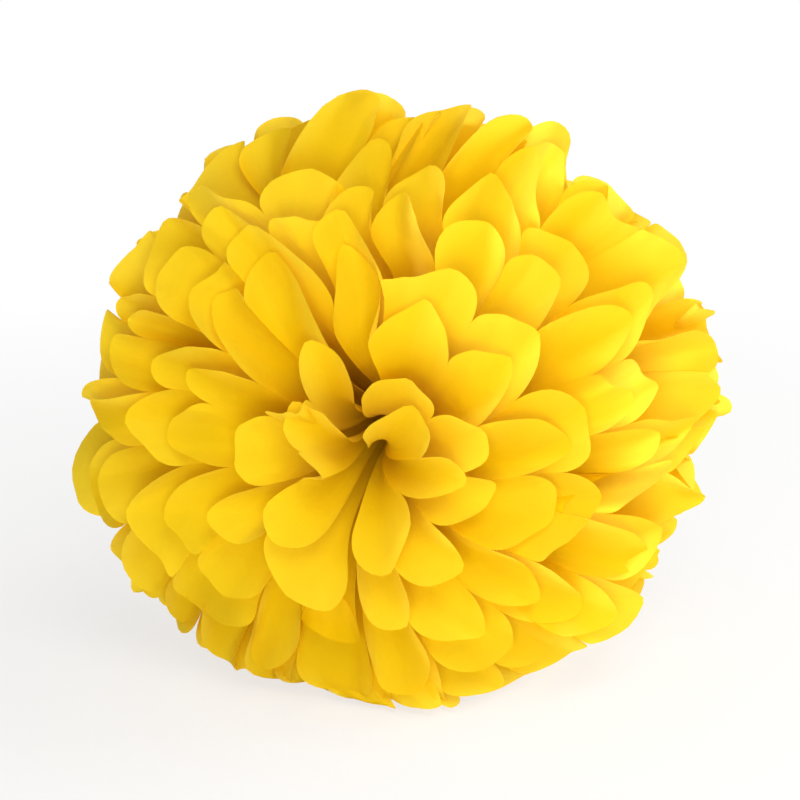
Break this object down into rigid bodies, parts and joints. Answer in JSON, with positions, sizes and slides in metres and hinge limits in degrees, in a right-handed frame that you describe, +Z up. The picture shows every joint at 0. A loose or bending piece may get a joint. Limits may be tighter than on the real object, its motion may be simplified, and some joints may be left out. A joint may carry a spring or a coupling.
{
  "type": "tissue paper pom pom",
  "caption": "Ball-shaped hanging paper flower: pleated tissue sheets bound at the waist with wire and fluffed into rows of round-tipped petals.",
  "frame": {"origin": "centre of the bounding box at its base, where the lowest petals are pressed flat", "axes": "+Z up in the hanging and resting pose, the flower's face looks along -Y, +X along the right half of each folded sheet"},
  "size_m": [0.299, 0.2502, 0.2695],
  "materials": {
    "tissue": "thin matt tissue paper, bright warm yellow, translucent in a single layer",
    "binding_wire": "thin bare craft wire"
  },
  "bodies": {
    "root": {"sheet_01": "tissue", "sheet_02": "tissue", "sheet_03": "tissue", "sheet_04": "tissue", "sheet_05": "tissue", "sheet_06": "tissue", "sheet_07": "tissue", "sheet_08": "tissue", "sheet_09": "tissue", "sheet_10": "tissue", "sheet_11": "tissue", "sheet_12": "tissue", "sheet_13": "tissue", "sheet_14": "tissue", "wire_tie": "binding_wire"}
  },
  "joints": []
}
